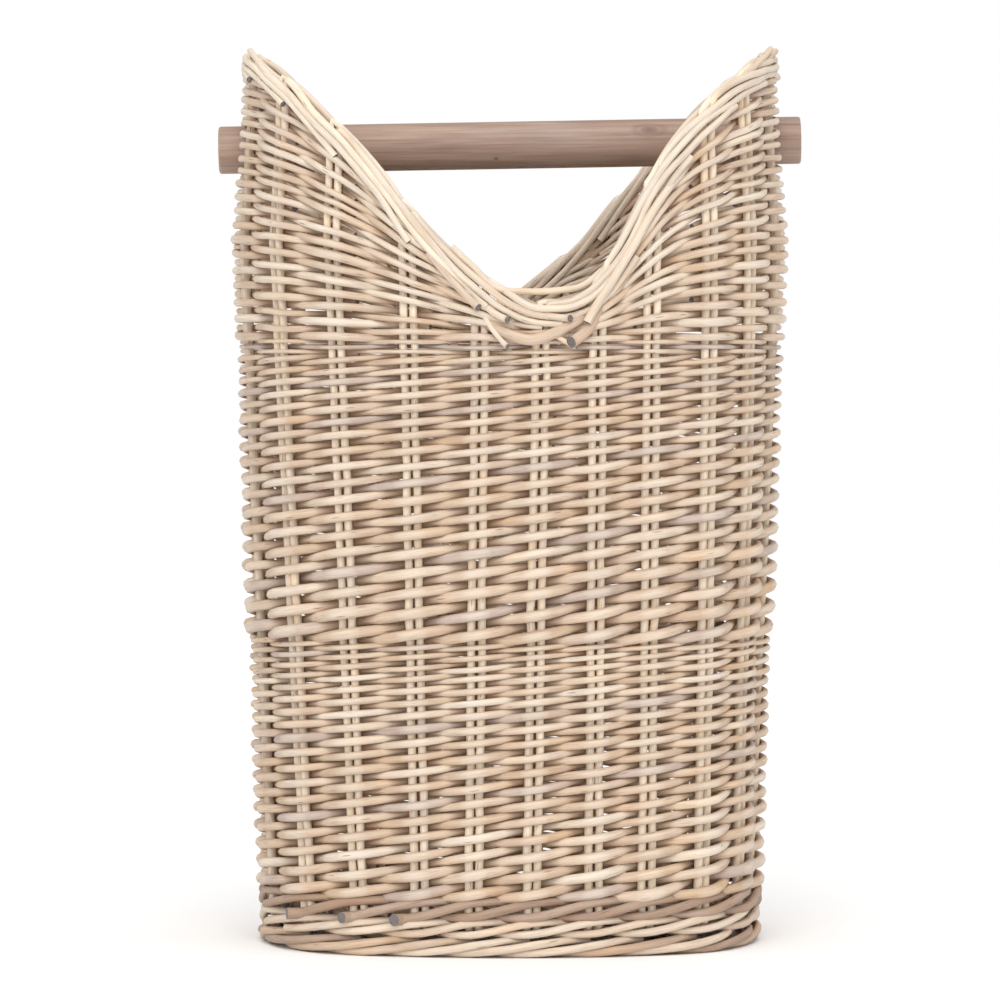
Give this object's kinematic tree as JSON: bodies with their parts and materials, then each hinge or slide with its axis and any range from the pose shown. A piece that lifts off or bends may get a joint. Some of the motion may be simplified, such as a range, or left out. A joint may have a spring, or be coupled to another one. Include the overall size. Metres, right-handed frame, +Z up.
{
  "type": "wicker log basket",
  "caption": "Tall oval woven willow basket with two high ends, a low dipped rim at front and back, and a round wooden pole handle running through both ends.",
  "frame": {"origin": "on the floor under the middle of the basket's overall width and depth", "axes": "+Z up; the pole handle lies along X, and its right end is a little higher; -Y is the front"},
  "size_m": [0.4184, 0.316, 0.6461],
  "materials": {
    "stake_willow": "satin",
    "stick_willow": "matt",
    "base_willow": "matt",
    "wale_willow": "satin",
    "weave_willow": "satin",
    "ear_willow": "satin",
    "border_willow": "satin",
    "pole_wood": "matt"
  },
  "bodies": {
    "basket": {"stake_pair_01": "stake_willow", "stake_pair_02": "stake_willow", "stake_pair_03": "stake_willow", "stake_pair_04": "stake_willow", "stake_pair_05": "stake_willow", "stake_pair_06": "stake_willow", "stake_pair_07": "stake_willow", "stake_pair_08": "stake_willow", "stake_pair_09": "stake_willow", "stake_pair_10": "stake_willow", "stake_pair_11": "stake_willow", "stake_pair_12": "stake_willow", "stake_pair_13": "stake_willow", "stake_pair_14": "stake_willow", "stake_pair_15": "stake_willow", "stake_pair_16": "stake_willow", "stake_pair_17": "stake_willow", "stake_pair_18": "stake_willow", "stake_pair_19": "stake_willow", "stake_pair_20": "stake_willow", "stake_pair_21": "stake_willow", "stake_pair_22": "stake_willow", "stake_pair_23": "stake_willow", "stake_pair_24": "stake_willow", "base_stick_long_1": "stick_willow", "base_stick_long_2": "stick_willow", "base_stick_long_3": "stick_willow", "base_stick_long_4": "stick_willow", "base_stick_cross_1": "stick_willow", "base_stick_cross_2": "stick_willow", "base_stick_cross_3": "stick_willow", "base_stick_cross_4": "stick_willow", "base_stick_cross_5": "stick_willow", "base_stick_cross_6": "stick_willow", "base_stick_cross_7": "stick_willow", "base_stick_cross_8": "stick_willow", "base_stick_cross_9": "stick_willow", "base_weave": "base_willow", "foot_border": "border_willow", "lower_wale": "wale_willow", "upper_wale": "wale_willow", "lower_weave_band": "weave_willow", "middle_weave_band": "weave_willow", "top_round": "weave_willow", "ear_weave_left": "ear_willow", "ear_weave_right": "ear_willow", "rim_border": "border_willow"},
    "pole": {"pole_handle": "pole_wood"}
  },
  "joints": [
    {"name": "pole_turn", "type": "hinge", "parent": "basket", "child": "pole", "pos_m": [0, 0, 0.571], "axis": [0.9998, 0, 0.0175], "continuous": true}
  ]
}
